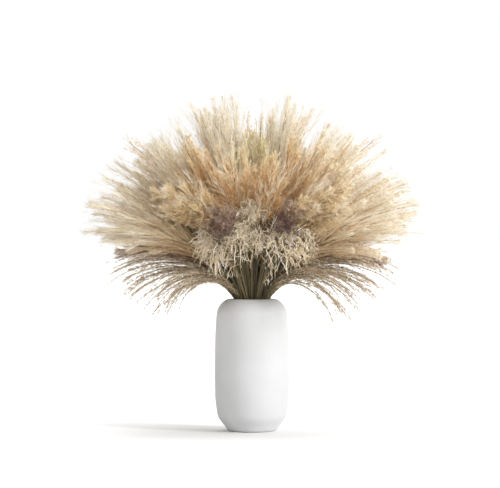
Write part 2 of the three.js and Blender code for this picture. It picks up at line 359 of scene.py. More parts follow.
def spray(g, lines, tones, spans, o):
    """A feathery head on each of the lines: branchlets, fine hairs on them, and seeds where there are any."""
    rng = g.rng
    c = len(lines)
    n = o["branches"]
    which = np.arange(n) % c
    s = rng.random(n) ** o.get("crowd", 1.0)
    first = np.clip((o["from"] - spans[:, 0]) / (spans[:, 1] - spans[:, 0]), 0.04, 0.9)[which]
    t0 = first + (1 - first) * s
    P, D = along(lines[which], t0[:, None])
    P, D = P[:, 0], D[:, 0]
    whole = np.linalg.norm(np.diff(lines, axis=1), axis=-1).sum(1)[which]
    swell = np.interp(s, [0, 0.12, 0.35, 0.7, 1.0], o.get("shape", [0.6, 0.85, 1.0, 0.85, 0.5]))
    length = o["length"] * swell * (0.5 + 0.75 * rng.random(n))
    # near the tip nothing reaches far beyond it
    length = np.minimum(length, np.maximum((1 - t0) * whole + o.get("beyond", 10), 8))
    d = around(rng, D, *np.radians(o["open"]))
    flare = unit(d - D * (d * D).sum(-1, keepdims=True)) * o.get("flare", 0.08)
    pull = D * o.get("along", 0.2) - UP * o.get("sag", 0.08) + flare
    k = o.get("k", 7)
    br = grow(rng, P, d, length, k, pull, o.get("wild", 0.12), o.get("curl", 0.0))
    lump = o.get("lump", 0.55)
    tone = np.clip(o["tone"][0] + (o["tone"][1] - o["tone"][0]) * (lump * tones[which] + (1 - lump) * rng.beta(1.2, 1.2, n)), 0.02, 0.98)
    t = np.linspace(0, 1, k)
    lo, hi = o["shade"]
    far, near = o.get("mix", 0.6), 1 - o.get("mix", 0.6)

    # painted shade: the colour coordinate runs darker deep in the bundle and lighter at its outline, from radial raised
    # to gain with the share mix (far), mixed with each strand's own root-to-tip colour (near)
    def shade(points, own):
        return np.clip(0.25 + 0.73 * (lo + (hi - lo) * (far * radial(points) ** o.get("gain", 2.1) + near * own)), 0.25, 0.98)

    v = shade(br, (0.5 * s[:, None] + 0.5 * t[None]))
    r = o.get("thick", 0.4) * (1 - 0.75 * t[None]) * (0.7 + 0.6 * rng.random(n)[:, None])
    g.tubes(br, r, tone, v, sides=3)
    m = o["hairs"]
    if m:
        h0 = o.get("hair_from", 0.1)
        ht = h0 + (1 - h0) * rng.random((n, m)) ** 0.85
        hp, hd = along(br, ht)
        hp, hd = hp.reshape(-1, 3), hd.reshape(-1, 3)
        own = (0.5 * s[:, None] + 0.5 * ht).ravel()
        htone = np.clip(np.repeat(tone, m) + rng.normal(0, 0.1, n * m), 0.02, 0.98)
        hlen = o["hair"] * (0.4 + 1.0 * rng.random(n * m)) * (1.1 - 0.4 * ht.ravel())
        hdir = around(rng, hd, *np.radians(o.get("hair_open", (6, 28))))
        bent = o.get("hair_k", 2)
        hl = grow(rng, hp, hdir, hlen, bent, hd * 0.2 - UP * o.get("hair_sag", 0.06), o.get("hair_wild", 0.3), o.get("hair_curl", 0.0))
        tt = np.linspace(0, 1, bent)
        hr = o.get("hair_thick", 0.18) * (1 - 0.6 * tt[None]) * (0.7 + 0.6 * rng.random(n * m)[:, None])
        g.tubes(hl, hr, htone, np.clip(shade(hl, own[:, None]) + 0.1 * tt[None], 0.25, 0.98), sides=3)
    q = o.get("grains", 0)
    if q:
        st = 0.15 + 0.85 * rng.random((n, q))
        sp, sd = along(br, st)
        sp, sd = sp.reshape(-1, 3), around(rng, sd.reshape(-1, 3), 0.1, 0.6)
        m = n * q
        dark = rng.random(m) < o.get("dark", 0.3)
        # the seeds take the same painted shade, darker deep in the bundle
        sv = shade(sp, 0.5)
        g.seeds(
            sp,
            sd,
            o.get("grain", 2.6) * (0.6 + 0.8 * rng.random(m)),
            o.get("grain_thick", 0.4) * (0.7 + 0.6 * rng.random(m)),
            np.where(dark, 0.05 + 0.15 * rng.random(m), np.clip(np.repeat(tone, q) + 0.1, 0, 0.98)),
            np.clip(np.where(dark, sv - 0.3, sv), 0.26, 0.98),
        )


def culms(g, path, n, spread, low=2, short=0.25, radius=0.5, tone=(0.0, 1.0), k=16, flat=(1.0, 1.0), part=(0.12, 0.42), bend=None):
    """Thin stalks of one tuft: the main one first, then low that stand beside it in the vase, then n that part from it on the way up. Returns their lines, tones and the shares of the way where each starts and ends."""
    rng = g.rng
    t = np.linspace(0, 1, k)
    mine, _ = path.at(-0.12 + 1.12 * t)
    lines, spans = [mine], [(-0.12, 1.0)]
    for i in range(low + n):
        beside = i < low
        start = -0.12 if beside else rng.uniform(*part)
        end = 1 - short * rng.random() ** 1.3
        ang, rad = rng.random() * 2 * np.pi, math.sqrt(0.05 + 0.95 * rng.random()) * spread
        base = (2.0 + 1.4 * rng.random()) if beside else 0.0
        u = start + (end - start) * t
        p, d, n1, n2 = path.frame_at(u)
        w = np.clip((u - max(start, 0)) / (1 - max(start, 0)), 0, 1)
        across = n1 * math.cos(ang) + n2 * math.sin(ang)
        wide = n1 * (math.cos(ang) * flat[0]) + n2 * (math.sin(ang) * flat[1])
        lines.append(p + across * (base * (1 - w))[:, None] + wide * (rad * w ** (1.3 if beside else 1.12))[:, None])
        spans.append((start, end))
    lines, spans = np.stack(lines), np.array(spans)
    if bend:
        lines = bend(lines)
    tones = tone[0] + (tone[1] - tone[0]) * rng.random(len(lines))
    r = radius * (1 - 0.6 * t)
    thick = np.where(np.arange(len(lines)) <= low, 1.5, 1.0)[1:, None]
    v = 0.02 + 0.16 * t[None] + np.where(np.arange(len(lines)) <= low, 0, 0.12)[1:, None]
    g.tubes(lines[1:], r[None] * thick, tones[1:], v, sides=4)
    return lines, tones, spans


def blades(g, path, n, low=-0.06, high=0.2, length=(45, 110), wide=(0.9, 2.0)):
    """Long narrow leaves that rise with the stem and lean a little off it."""
    rng = g.rng
    u = rng.uniform(low, high, n)
    P, D = path.at(u)
    d = around(rng, D, 0.04, 0.2)
    k = 10
    ln = rng.uniform(*length, n)
    out = unit(d - D * (d * D).sum(-1, keepdims=True))
    bl = grow(rng, P + out * 1.2, d, ln, k, out * rng.uniform(-0.05, 0.35, n)[:, None] - UP * rng.uniform(0, 0.25, n)[:, None], 0.12)
    t = np.linspace(0, 1, k)
    w = rng.uniform(*wide, n)[:, None] * np.sin(np.pi * np.clip(t[None] * 0.8 + 0.18, 0, 1)) ** 0.6
    g.tubes(bl, w, rng.uniform(0.05, 0.95, n), 0.03 + 0.17 * rng.random(n)[:, None] * t[None], sides=4, flat=0.18)


# ------------------------------------------------------------------ the recipes
def strays(g, path, n, spread, o, bend=None):
    """Thin single strands that stand off the head and blur its outline."""
    lines, tones, spans = culms(g, path, n, spread, low=0, short=0.22, radius=0.3, part=(0.3, 0.6), bend=bend)
    spray(
        g, lines[1:], tones[1:], spans[1:],
        {
            "from": 0.55, "branches": n * 14, "length": 34, "open": (3, 16), "hairs": 8, "hair": 9, "hair_open": (3, 24),
            "tone": (0.25, 1.15), "shade": (0.25, 1.05), "sag": 0.03, "along": 0.2, "wild": 0.12, "thick": 0.26,
            "hair_thick": 0.15, "beyond": 9, "crowd": 0.8, **o,
        },
    )


def make_golden(g, path, i):
    stem(g, path, tone=0.35 + 0.3 * g.rng.random(), radius=1.35)
    blades(g, path, 5)
    lines, tones, spans = culms(g, path, 17, 27, short=0.26, radius=0.45)
    spray(
        g, lines, tones, spans,
        {
            "from": 0.42, "branches": 800, "length": 44, "open": (2, 11), "hairs": 10, "hair": 7, "hair_open": (2, 14),
            "tone": (-0.3, 1.15), "shade": (0.0, 1.15), "sag": 0.0, "along": 0.25, "wild": 0.05, "thick": 0.45,
            "hair_thick": 0.25, "beyond": 8, "hair_sag": 0.0, "grains": 4, "dark": 0.12, "grain": 3.2, "grain_thick": 0.55,
            "crowd": 0.8, "gain": 1.6,
        },
    )


def make_seed(g, path, i):
    low = i >= 4
    stem(g, path, tone=0.5, radius=1.2, tip_radius=0.3)
    lines, tones, spans = culms(g, path, 12, 34 if low else 27, short=0.3, radius=0.42)
    spray(
        g, lines, tones, spans,
        {
            "from": 0.45, "branches": 330, "length": 30, "open": (5, 22), "hairs": 3, "hair": 6, "tone": (0.0, 1.0),
            "shade": (0.2, 0.95), "sag": 0.0, "along": 0.3, "wild": 0.06, "thick": 0.26, "beyond": 7, "grains": 7,
            "dark": 0.3, "grain": 3.0, "grain_thick": 0.42,
        },
    )


def make_cream(g, path, i):
    tall = i < 4
    stem(g, path, tone=0.45)
    blades(g, path, 4)
    strays(g, path, 16, 56 if tall else 60, {})
    lines, tones, spans = culms(g, path, 13, 38 if tall else 44, short=0.3, radius=0.45)
    # the lower cream plumes take a deeper painted shade: tan deep inside the bundle, pale only at their outer tips
    spray(
        g, lines, tones, spans,
        {
            "from": 0.48, "branches": 540 if tall else 620, "length": 56, "open": (3, 16), "hairs": 12 if tall else 16, "hair": 11, "hair_open": (2, 20),
            "tone": (0.05, 1.2), "shade": (0.1, 1.08) if tall else (-0.35, 1.05), "sag": 0.02, "along": 0.2, "wild": 0.08, "thick": 0.4,
            "hair_thick": 0.19, "crowd": 0.75, "beyond": 8, "gain": 2.2 if tall else 3.4,
        },
    )


def make_tan(g, path, i):
    stem(g, path, tone=0.4)
    blades(g, path, 5)
    strays(g, path, 12, 56, {})
    lines, tones, spans = culms(g, path, 15, 44 if i < 4 else 34, short=0.3 if i < 4 else 0.45, radius=0.45)
    fluffy = {"from": 0.5, "length": 34, "open": (5, 40), "wild": 0.3, "curl": 0.25, "shade": (-0.12, 1.0), "gain": 2.2, "grains": 0}
    spray(
        g, lines, tones, spans,
        {
            "from": 0.42, "branches": 720, "length": 48, "open": (3, 14), "hairs": 12, "hair": 9, "hair_open": (2, 18),
            "tone": (-0.3, 1.15), "shade": (-0.05, 0.97), "sag": 0.02, "along": 0.2, "wild": 0.09, "thick": 0.45,
            "hair_thick": 0.24, "crowd": 0.85, "beyond": 8, "gain": 2.8, "grains": 3, "grain": 3.2, "grain_thick": 0.55, "dark": 0.5,
            **(fluffy if i >= 4 else {}),
        },
    )


def make_blush(g, path, i):
    stem(g, path, tone=0.35)
    blades(g, path, 5)
    strays(g, path, 16, 58, {"beyond": 6})
    lines, tones, spans = culms(g, path, 17, 46, short=0.32, radius=0.45)
    spray(
        g, lines, tones, spans,
        {
            "from": 0.2, "branches": 900, "length": 56, "open": (3, 15), "hairs": 13, "hair": 10, "hair_open": (2, 18),
            "tone": (-0.1, 1.1), "shade": (-0.14, 1.04), "sag": 0.02, "along": 0.2, "wild": 0.08, "thick": 0.42,
            "hair_thick": 0.22, "crowd": 0.8, "beyond": 6, "gain": 2.0,
        },
    )


def make_straw(g, path, i):
    """A wide loose tuft, which spreads more to its sides than in and out."""
    front = i < 2
    rng = g.rng
    aside = path.side * math.copysign(1, path.side[0] * path.out[0])  # away from the middle

    def bend(lines):
        c, k, _ = lines.shape
        w = np.clip(np.linspace(-0.1, 1, k), 0, 1)[None, :, None]
        lines = lines + aside * (rng.uniform(-0.25, 1.1, (c, 1, 1)) * (48 if front else 28)) * w
        lines = lines + (UP * 12 - path.out * (5 if front else 10)) * w
        # the ones that point straight to the front or back are shorter
        fit = np.minimum(1, 186 / np.abs(lines[:, -1, 1]))[:, None]
        lines[..., 1] *= 1 + (fit - 1) * w[..., 0]
        return lines

    stem(g, path, tone=0.4)
    blades(g, path, 5)
    strays(g, path, 14, 46 if front else 34, {"beyond": 0 if front else -6}, bend)
    lines, tones, spans = culms(g, path, 18, 38 if front else 27, short=0.42, flat=(0.75, 1.0), part=(0.2, 0.5), bend=bend)
    spray(
        g, lines, tones, spans,
        {
            "from": 0.58, "branches": 780, "length": 34, "open": (5, 42), "hairs": 14, "hair": 11, "hair_open": (4, 26),
            "tone": (-0.2, 1.05), "shade": (-0.35, 0.95), "sag": 0.1, "along": 0.05, "wild": 0.3, "curl": 0.22,
            "thick": 0.42, "hair_thick": 0.22, "crowd": 0.7, "beyond": 5 if front else 1, "k": 8, "mix": 0.3, "lump": 0.7,
            "hair_wild": 0.6,
        },
    )


def make_mauve(g, path, i):
    side = i < 2
    stem(g, path, tone=0.2)
    shift = UP * 8 + path.side * math.copysign(11, path.out[0]) + path.out * 22

    def bend(lines):
        return lines if side else lines + shift * np.clip(np.linspace(-0.1, 1, lines.shape[1]), 0, 1)[None, :, None]

    lines, tones, spans = culms(g, path, 10, 26 if side else 22, short=0.35 if side else 0.55, part=(0.2, 0.5), bend=bend)
    spray(
        g, lines, tones, spans,
        {
            "from": 0.3 if side else 0.66, "branches": 640 if side else 520, "length": 36 if side else 31, "open": (5, 24) if side else (6, 40),
            "hairs": 18, "hair": 9, "hair_open": (6, 34), "tone": (-0.35, 1.3), "shade": (0.1, 1.1) if side else (-0.35, 1.3),
            "sag": 0.05, "along": 0.15, "wild": 0.25 if side else 0.38, "curl": 0.1 if side else 0.25, "thick": 0.38, "hair_thick": 0.2,
            "beyond": 6, "k": 8, "mix": 0.4, "lump": 0.6,
        },
    )


def turned(P, angle):
    c, s = np.cos(angle), np.sin(angle)
    return np.stack([P[..., 0] * c - P[..., 1] * s, P[..., 0] * s + P[..., 1] * c, P[..., 2]], -1)


def make_leaf(g, path, i):
    """Crinkled dry leaves and frizzy branchlets round the stems, under the plumes."""
    rng = g.rng
    stem(g, path, tone=0.5, to=0.96, tip_radius=0.7)
    blades(g, path, 6, high=0.35)
    culms(g, path, 4, 18, low=4, short=0.4, radius=0.5, flat=(0.5, 1.6))
    middle = i in (0, 3)
    low, high, arc = (284, 344, 0.52) if middle else (262, 314, 0.52)
    clump = rng.uniform(0, 1, (9 if middle else 8, 2)) * [1, 2] - [0, 1]
    if middle:
        clump = np.vstack([clump, [[0.96, 0.05], [0.9, -0.24], [0.86, 0.26], [0.7, 0.0]]])

    def seat(n, lo, hi, deep=8):
        """Feet on the skirt's rounded surface and the outward directions there."""
        pick = rng.integers(0, len(clump), n)
        z = np.clip(lo + (hi - lo) * clump[pick, 0] + rng.normal(0, 6.5, n), lo - 6, hi + 6)
        h = np.clip((z - 258) / 76, 0, 1)
        radius = 72 + 36 * np.sin(np.pi * (h * 0.56 + 0.24)) - rng.exponential(deep, n)
        narrow = 1.0 - 0.35 * h if middle else 1.0
        out = turned(np.tile(path.out, (n, 1)), (clump[pick, 1] * arc + rng.normal(0, 0.055, n)) * narrow)
        return out * radius[:, None] + UP * z[:, None], out

    def ribbons(P, d, ln, wide, pull, curl, v0, v1, k=12, flat=0.2, tone=(0.1, 0.98)):
        n = len(P)
        line = grow(rng, P, d, ln, k, pull, 0.5, curl)
        t = np.linspace(0, 1, k)
        w = wide[:, None] * np.sin(np.pi * np.clip(t[None] * 0.84 + 0.13, 0, 1)) ** 0.7
        g.tubes(line, w, rng.uniform(*tone, n), np.clip(v0[:, None] + (v1[:, None] - v0[:, None]) * t[None], 0.25, 0.98), sides=4, flat=flat)

    # crinkled leaves that curl every way, mostly down
    n = 205 if middle else 105
    P, out = seat(n, low + 6, high)
    side = np.cross(UP, out)
    d = unit(out * 0.6 + UP * rng.uniform(-1.0, 0.6, n)[:, None] + side * rng.normal(0, 0.8, n)[:, None])
    # painted light: these leaves run lighter towards the top of the skirt and darker lower down
    shade = np.clip((P[:, 2] - low) / (high - low), 0, 1)
    ribbons(P, d, rng.uniform(11, 32, n), rng.uniform(0.5, 1.1, n), -UP * rng.uniform(0.0, 1.6, n)[:, None], 0.8, 0.46 + 0.3 * shade, 0.8 + 0.18 * shade, tone=(0.15, 1.0))
    # clumps of curls that hang down beside the stems
    for c in range(2):
        z0, z1 = low + rng.uniform(4, 16), low - rng.uniform(14, 34) - (0 if middle else 6 * c)
        a = (1 if c else -1) * rng.uniform(0.25, 0.9) * arc
        m = 26
        s = rng.random(m) ** 0.9
        z = z0 + (z1 - z0) * s
        out = turned(np.tile(path.out, (m, 1)), a + rng.normal(0, 0.05, m) * (1.2 - s))
        P = out * (66 - 22 * s + rng.normal(0, 2.2, m))[:, None] + UP * z[:, None]
        d = unit(out * rng.uniform(-0.2, 0.7, m)[:, None] - UP * 0.7 + np.cross(UP, out) * rng.normal(0, 0.6, m)[:, None])
        ribbons(P, d, rng.uniform(6, 15, m), rng.uniform(0.35, 0.8, m), -UP * rng.uniform(0.4, 1.6, m)[:, None], 0.7, np.full(m, 0.38), np.full(m, 0.7), 9, 0.25, (0.1, 0.9))
    # darker ones behind, down to the stems, with painted shade: real leaves whose colour is set darker because they sit
    # deep in the skirt
    n = 190
    P, out = seat(n, low - 6, high + 14, 26)
    P = turned(P, rng.normal(0, 0.25, n))
    d = unit(out * 0.3 - UP * rng.uniform(-0.6, 1.0, n)[:, None] + np.cross(UP, out) * rng.normal(0, 0.5, n)[:, None])
    ribbons(P * [0.84, 0.84, 1], d, rng.uniform(14, 36, n), rng.uniform(0.4, 0.9, n), -UP * 0.7, 0.3, 0.3 + 0.15 * rng.random(n), 0.45 + 0.2 * rng.random(n))
    # long ones that hang in front of the stems
    n = 4
    P, out = seat(n, low + 8, low + 24)
    ribbons(P * [0.84, 0.84, 1], unit(out * 0.1 - UP), rng.uniform(30, 52, n), rng.uniform(1.0, 1.7, n), -UP * 1.0 - out * 0.35, 0.3, np.full(n, 0.6), np.full(n, 0.85), 14, 0.25, (0.4, 0.9))
    # frizz
    n = 260 if middle else 130
    P, out = seat(n, low, high)
    d = unit(out * 0.6 + UP * rng.uniform(-1.0, 0.8, n)[:, None] + np.cross(UP, out) * rng.normal(0, 0.7, n)[:, None])
    fr = grow(rng, P, d, rng.uniform(8, 26, n), 8, -UP * rng.uniform(-0.3, 1.2, n)[:, None], 0.7, 0.8)
    t = np.linspace(0, 1, 8)
    tone = 0.05 + 0.93 * rng.beta(1.3, 1.0, n)
    # painted light: the frizz and its hairs run lighter towards the top of the skirt and darker lower down
    up = np.clip((P[:, 2] - low) / (high - low), 0, 1)[:, None]
    g.tubes(fr, 0.42 * (1 - 0.6 * t[None]) * rng.uniform(0.6, 1.4, n)[:, None], tone, np.clip(0.31 + 0.28 * up + 0.3 * t[None], 0.25, 0.98), sides=3)
    m = 7
    ht = 0.1 + 0.9 * rng.random((n, m))
    hp, hd = along(fr, ht)
    hp, hd = hp.reshape(-1, 3), around(rng, hd.reshape(-1, 3), 0.4, 1.2)
    hl = grow(rng, hp, hd, rng.uniform(2, 7, n * m), 3, -UP * 0.3, 0.9)
    hv = np.clip(0.4 + np.repeat(0.28 * up.ravel(), m)[:, None] + 0.3 * ht.reshape(-1, 1) + 0 * hl[..., 0], 0.25, 0.98)
    g.tubes(hl, np.array([0.27, 0.22, 0.1])[None].repeat(n * m, 0), np.clip(np.repeat(tone, m) + rng.normal(0, 0.1, n * m), 0.02, 0.98), hv, sides=3)


def make_droop(g, path, i):
    """A tuft of thin arching stalks dotted with seeds."""
    rng = g.rng
    stem(g, path, tone=0.4, radius=1.25, tip_radius=0.3)
    n, k = 24, 28
    t = np.linspace(0, 1, k)
    lines = []
    for c in range(n):
        end = 1 - 0.5 * (c % 3 == 0) * rng.random() - 0.2 * rng.random()
        start = -0.12
        u = start + (end - start) * t
        p, d, n1, n2 = path.frame_at(u)
        w = np.clip(u, 0, 1)
        swing, rise = rng.normal(0, 20), rng.uniform(-24, 46)
        foot = 2.0 + 1.4 * rng.random()
        line = p + n2 * (swing * w**1.2 + foot * math.cos(c * 2.4) * (1 - w))[:, None]
        line = line + n1 * (rise * w**1.3 + foot * math.sin(c * 2.4) * (1 - w))[:, None]
        lines.append(line)
    own, _ = path.at(np.linspace(-0.12, 1, k))
    lines = np.stack([own] + lines)
    spans = np.tile([-0.12, 1.0], (n + 1, 1))
    tones = rng.uniform(0.1, 0.95, n + 1)
    g.tubes(lines[1:], (0.5 * (1 - 0.6 * t))[None].repeat(n, 0), tones[1:], (0.06 + 0.12 * t)[None].repeat(n, 0), sides=4)
    spray(
        g, lines, tones, spans,
        {
            "from": 0.15, "branches": 1500, "length": 9, "open": (5, 20), "hairs": 2, "hair": 5, "tone": (0.0, 1.0),
            "shade": (0.0, 1.0), "sag": 0.15, "along": 0.2, "wild": 0.1, "thick": 0.22, "beyond": 6, "grains": 4,
            "dark": 0.5, "grain": 2.6, "grain_thick": 0.38, "mix": 0.5, "k": 4,
        },
    )


MAKERS = {
    "golden_stalk": make_golden,
    "seed_stalk": make_seed,
    "cream_plume": make_cream,
    "tan_plume": make_tan,
    "blush_plume": make_blush,
    "straw_plume": make_straw,
    "mauve_plume": make_mauve,
    "straw_leaf": make_leaf,
    "drooping_stalk": make_droop,
}


# ------------------------------------------------------------------- materials
def linear(rgb):
    return [((c / 255) / 12.92 if c / 255 <= 0.04045 else ((c / 255 + 0.055) / 1.055) ** 2.4) for c in rgb] + [1.0]


STEM_DARK = [(0.0, (48, 41, 24)), (0.2, (66, 56, 32))]
STEM_LIGHT = [(0.0, (118, 108, 76)), (0.2, (142, 127, 92))]
# colours from 0.25 to 1, in a dark and a light one: along a strand from its root to its tip, and also painted shade and
# light, darker deep in the bundle and low in the leaf skirt, lighter at the bundle's outline and the skirt's top
RANGE = {
    "golden_stalk": (
        [(0.25, (135, 103, 56)), (0.5, (179, 144, 82)), (0.75, (214, 184, 122)), (1.0, (230, 206, 156))],
        [(0.25, (199, 163, 98)), (0.5, (230, 198, 130)), (0.75, (244, 221, 166)), (1.0, (251, 240, 208))],
    ),
    "seed_stalk": (
        [(0.25, (92, 70, 44)), (0.5, (120, 94, 62)), (0.75, (160, 130, 92)), (1.0, (190, 164, 126))],
        [(0.25, (176, 148, 106)), (0.5, (210, 182, 140)), (0.75, (232, 212, 178)), (1.0, (246, 234, 212))],
    ),
    "cream_plume": (
        [(0.25, (150, 120, 82)), (0.5, (196, 168, 128)), (0.75, (222, 204, 174)), (1.0, (234, 222, 200))],
        [(0.25, (206, 176, 134)), (0.5, (232, 212, 178)), (0.75, (245, 236, 216)), (1.0, (252, 247, 236))],
    ),
    "tan_plume": (
        [(0.25, (116, 84, 52)), (0.5, (164, 128, 86)), (0.75, (200, 170, 128)), (1.0, (222, 202, 168))],
        [(0.25, (188, 152, 106)), (0.5, (224, 194, 148)), (0.75, (240, 220, 186)), (1.0, (250, 240, 220))],
    ),
    "blush_plume": (
        [(0.25, (104, 80, 56)), (0.5, (160, 131, 94)), (0.75, (208, 184, 152)), (1.0, (232, 218, 196))],
        [(0.25, (178, 148, 108)), (0.5, (222, 197, 156)), (0.75, (243, 228, 202)), (1.0, (252, 246, 235))],
    ),
    "straw_plume": (
        [(0.25, (88, 62, 40)), (0.5, (146, 116, 74)), (0.75, (196, 168, 120)), (1.0, (230, 210, 170))],
        [(0.25, (158, 124, 80)), (0.5, (220, 190, 138)), (0.75, (246, 228, 184)), (1.0, (254, 246, 220))],
    ),
    "mauve_plume": (
        [(0.25, (58, 36, 34)), (0.5, (84, 58, 54)), (0.75, (140, 112, 96)), (1.0, (190, 166, 146))],
        [(0.25, (132, 102, 90)), (0.5, (166, 136, 122)), (0.75, (206, 182, 162)), (1.0, (238, 224, 204))],
    ),
    "straw_leaf": (
        [(0.25, (98, 84, 54)), (0.5, (140, 122, 84)), (0.75, (170, 152, 114)), (1.0, (190, 172, 134))],
        [(0.25, (190, 172, 130)), (0.5, (222, 206, 168)), (0.75, (238, 226, 194)), (1.0, (246, 236, 210))],
    ),
    "drooping_stalk": (
        [(0.25, (68, 57, 46)), (0.5, (92, 79, 63)), (0.75, (128, 112, 90)), (1.0, (158, 140, 114))],
        [(0.25, (158, 138, 106)), (0.5, (194, 174, 138)), (0.75, (222, 203, 168)), (1.0, (238, 222, 192))],
    ),
}


# how much lighter a single strand is than its head, how much warmer, and the share of it at the root, the low end of
# the colour range, which also holds the painted shade deep in the bundle
STRENGTH = {
    "golden_stalk": (3.2, 1.0, 0.85),
    "seed_stalk": (3.0, 1.0, 1.0),
    "cream_plume": (4.2, 1.0, 0.35),
    "tan_plume": (2.6, 1.05, 0.55),
    "blush_plume": (2.7, 0.8, 0.65),
    "straw_plume": (2.5, 0.5, 0.6),
    "mauve_plume": (0.95, 0.4, 1.0),
    "straw_leaf": (3.0, 0.6, 1.0),
    "drooping_stalk": (3.6, 0.8, 1.0),
}


def strand(rgb, power, warm):
    """The colour of one strand that, in a dense head, reads as rgb: light that bounces from strand to strand deepens it."""
    gain = (power * (1 + 0.5 * warm), power * (1 + 0.11 * warm), power * (1 - 0.12 * warm))
    most = (0.97, 0.89, 0.79 - 0.08 * warm)
    return [min(1 - (1 - c) ** p, m) for c, p, m in zip(linear(rgb), gain, most)] + [1.0]


def ramp(nodes, stops, at, strength):
    r = nodes.new("ShaderNodeValToRGB")
    r.location = at
    e = r.color_ramp.elements
    while len(e) < len(stops):
        e.new(0.5)
    for element, (pos, rgb) in zip(e, stops):
        element.position = pos
        power, warm, root = strength
        share = root + (1 - root) * (pos - 0.25) / 0.75
        element.color = strand(rgb, power * share, warm) if pos >= 0.25 else strand(rgb, 1.0, 0.1)
    return r


def grass_material(kind):
    """Colour runs along each strand from V, which also carries painted shade, darker deep in the bundle and lighter at
    its outline, and from strand to strand with U. Streaks and specks come from noise on the same coordinates.
    """
    m = bpy.data.materials.new(kind + "_grass")
    m.use_nodes = True
    nt = m.node_tree
    nodes, links = nt.nodes, nt.links
    nodes.clear()
    out = nodes.new("ShaderNodeOutputMaterial")
    shader = nodes.new("ShaderNodeBsdfPrincipled")
    links.new(shader.outputs["BSDF"], out.inputs["Surface"])
    uv = nodes.new("ShaderNodeUVMap")
    uv.uv_map = "OFBake"
    split = nodes.new("ShaderNodeSeparateXYZ")
    links.new(uv.outputs["UV"], split.inputs[0])
    dark, light = RANGE[kind]
    power, warm, root = STRENGTH[kind]
    a = ramp(nodes, STEM_DARK + dark, (-600, 200), (power, warm, root))
    b = ramp(nodes, STEM_LIGHT + light, (-600, -100), (power, 0.55 * warm, root))
    links.new(split.outputs["Y"], a.inputs["Fac"])
    links.new(split.outputs["Y"], b.inputs["Fac"])
    # streaks: quick across the strands, slow along them
    scale = nodes.new("ShaderNodeMapping")
    scale.inputs["Scale"].default_value = (90.0, 7.0, 1.0)
    links.new(uv.outputs["UV"], scale.inputs["Vector"])
    noise = nodes.new("ShaderNodeTexNoise")
    noise.inputs["Scale"].default_value = 1.0
    noise.inputs["Detail"].default_value = 3.0
    noise.inputs["Roughness"].default_value = 0.6
    links.new(scale.outputs["Vector"], noise.inputs["Vector"])
    tone = nodes.new("ShaderNodeMath")
    tone.operation = "MULTIPLY_ADD"
    tone.inputs[1].default_value = 0.5
    links.new(noise.outputs["Fac"], tone.inputs[0])
    shift = nodes.new("ShaderNodeMath")
    shift.operation = "SUBTRACT"
    shift.inputs[1].default_value = 0.25
    links.new(split.outputs["X"], shift.inputs[0])
    links.new(shift.outputs[0], tone.inputs[2])
    clamp = nodes.new("ShaderNodeClamp")
    links.new(tone.outputs[0], clamp.inputs["Value"])
    mix = nodes.new("ShaderNodeMix")
    mix.data_type = "RGBA"
    links.new(clamp.outputs[0], mix.inputs["Factor"])
    links.new(a.outputs["Color"], mix.inputs["A"])
    links.new(b.outputs["Color"], mix.inputs["B"])
    links.new(mix.outputs["Result"], shader.inputs["Base Color"])
    rough = nodes.new("ShaderNodeMapRange")
    rough.inputs["To Min"].default_value = 0.62
    rough.inputs["To Max"].default_value = 0.9
    links.new(noise.outputs["Fac"], rough.inputs["Value"])
    links.new(rough.outputs["Result"], shader.inputs["Roughness"])
    shader.inputs["Specular IOR Level"].default_value = 0.25
    shader.inputs["Sheen Weight"].default_value = 0.15
    shader.inputs["Sheen Roughness"].default_value = 0.5
    return m


def ceramic_material():
    """Matte white ceramic: faintly clouded, with a fine eggshell surface."""
    m = bpy.data.materials.new("white_ceramic")
    m.use_nodes = True
    nt = m.node_tree
    nodes, links = nt.nodes, nt.links
    nodes.clear()
    out = nodes.new("ShaderNodeOutputMaterial")
    shader = nodes.new("ShaderNodeBsdfPrincipled")
    links.new(shader.outputs["BSDF"], out.inputs["Surface"])
    where = nodes.new("ShaderNodeTexCoord")
    cloud = nodes.new("ShaderNodeTexNoise")
    cloud.inputs["Scale"].default_value = 22.0
    cloud.inputs["Detail"].default_value = 4.0
    links.new(where.outputs["Object"], cloud.inputs["Vector"])
    tint = nodes.new("ShaderNodeValToRGB")
    tint.color_ramp.elements[0].position = 0.3
    tint.color_ramp.elements[0].color = (0.565, 0.57, 0.575, 1)
    tint.color_ramp.elements[1].position = 0.7
    tint.color_ramp.elements[1].color = (0.595, 0.60, 0.605, 1)
    links.new(cloud.outputs["Fac"], tint.inputs["Fac"])
    links.new(tint.outputs["Color"], shader.inputs["Base Color"])
    grain = nodes.new("ShaderNodeTexNoise")
    grain.inputs["Scale"].default_value = 900.0
    grain.inputs["Detail"].default_value = 3.0
    links.new(where.outputs["Object"], grain.inputs["Vector"])
    rough = nodes.new("ShaderNodeMapRange")
    rough.inputs["To Min"].default_value = 0.46
    rough.inputs["To Max"].default_value = 0.6
    links.new(grain.outputs["Fac"], rough.inputs["Value"])
    links.new(rough.outputs["Result"], shader.inputs["Roughness"])
    bump = nodes.new("ShaderNodeBump")
    bump.inputs["Strength"].default_value = 0.12
    bump.inputs["Distance"].default_value = 0.0002
    links.new(grain.outputs["Fac"], bump.inputs["Height"])
    links.new(bump.outputs["Normal"], shader.inputs["Normal"])
    shader.inputs["Specular IOR Level"].default_value = 0.4
    return m


